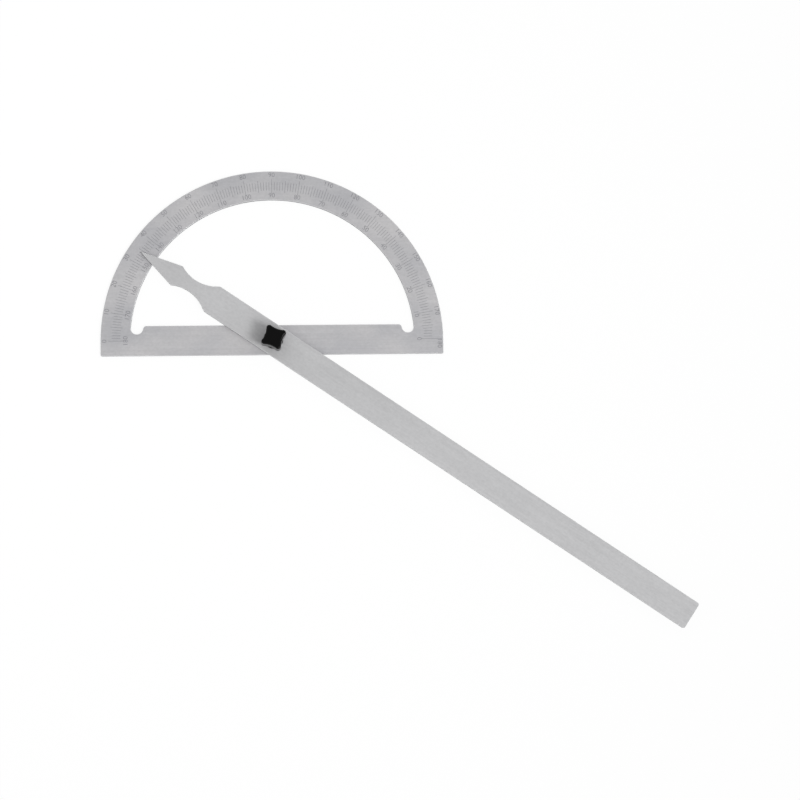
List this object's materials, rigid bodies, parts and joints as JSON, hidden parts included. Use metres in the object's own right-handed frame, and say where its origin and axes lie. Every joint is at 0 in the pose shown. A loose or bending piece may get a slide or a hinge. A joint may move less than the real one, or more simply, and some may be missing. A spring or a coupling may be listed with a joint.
{
  "type": "bevel protractor",
  "caption": "Half-round plate protractor with base bar, half-moon window and a long swinging pointer blade, clamped at the pivot by a small four-lobed knob.",
  "frame": {"origin": "pivot axis at the back face of the plate", "axes": "+X along the base line to the right-hand zero of the scale, +Y to its 90 degree mark, +Z out of the graduated face"},
  "size_m": [0.3588, 0.2809, 0.0184],
  "materials": {
    "plate_steel": "satin ground sheet with an etched scale",
    "blade_steel": "satin ground sheet",
    "stud_steel": "turned",
    "spring_steel": "rolled strip",
    "washer_steel": "zinc plated",
    "knob_black": "moulded, polished",
    "insert_brass": "turned"
  },
  "bodies": {
    "base": {"protractor_plate": "plate_steel", "pivot_stud": "stud_steel", "spring_washer": "spring_steel"},
    "blade": {"pointer_blade": "blade_steel"},
    "washer": {"flat_washer": "washer_steel"},
    "knob": {"clamp_knob": "knob_black", "knob_insert": "insert_brass"}
  },
  "joints": [
    {"name": "blade_swing", "type": "hinge", "parent": "base", "child": "blade", "pos_m": [0, 0, 0.003], "axis": [0, 0, 1], "continuous": true},
    {"name": "washer_lift", "type": "slide", "parent": "base", "child": "washer", "axis": [0, 0, 1], "range_m": [0, 0.0008], "deforming": ["spring_washer"]},
    {"name": "knob_turn", "type": "hinge", "parent": "washer", "child": "knob", "pos_m": [0, 0, 0.0058], "axis": [0, 0, 1], "range_deg": [0, 360]}
  ],
  "couplings": [
    {"joint": "knob_turn", "follows": "washer_lift", "rad_per_m": 7853}
  ]
}
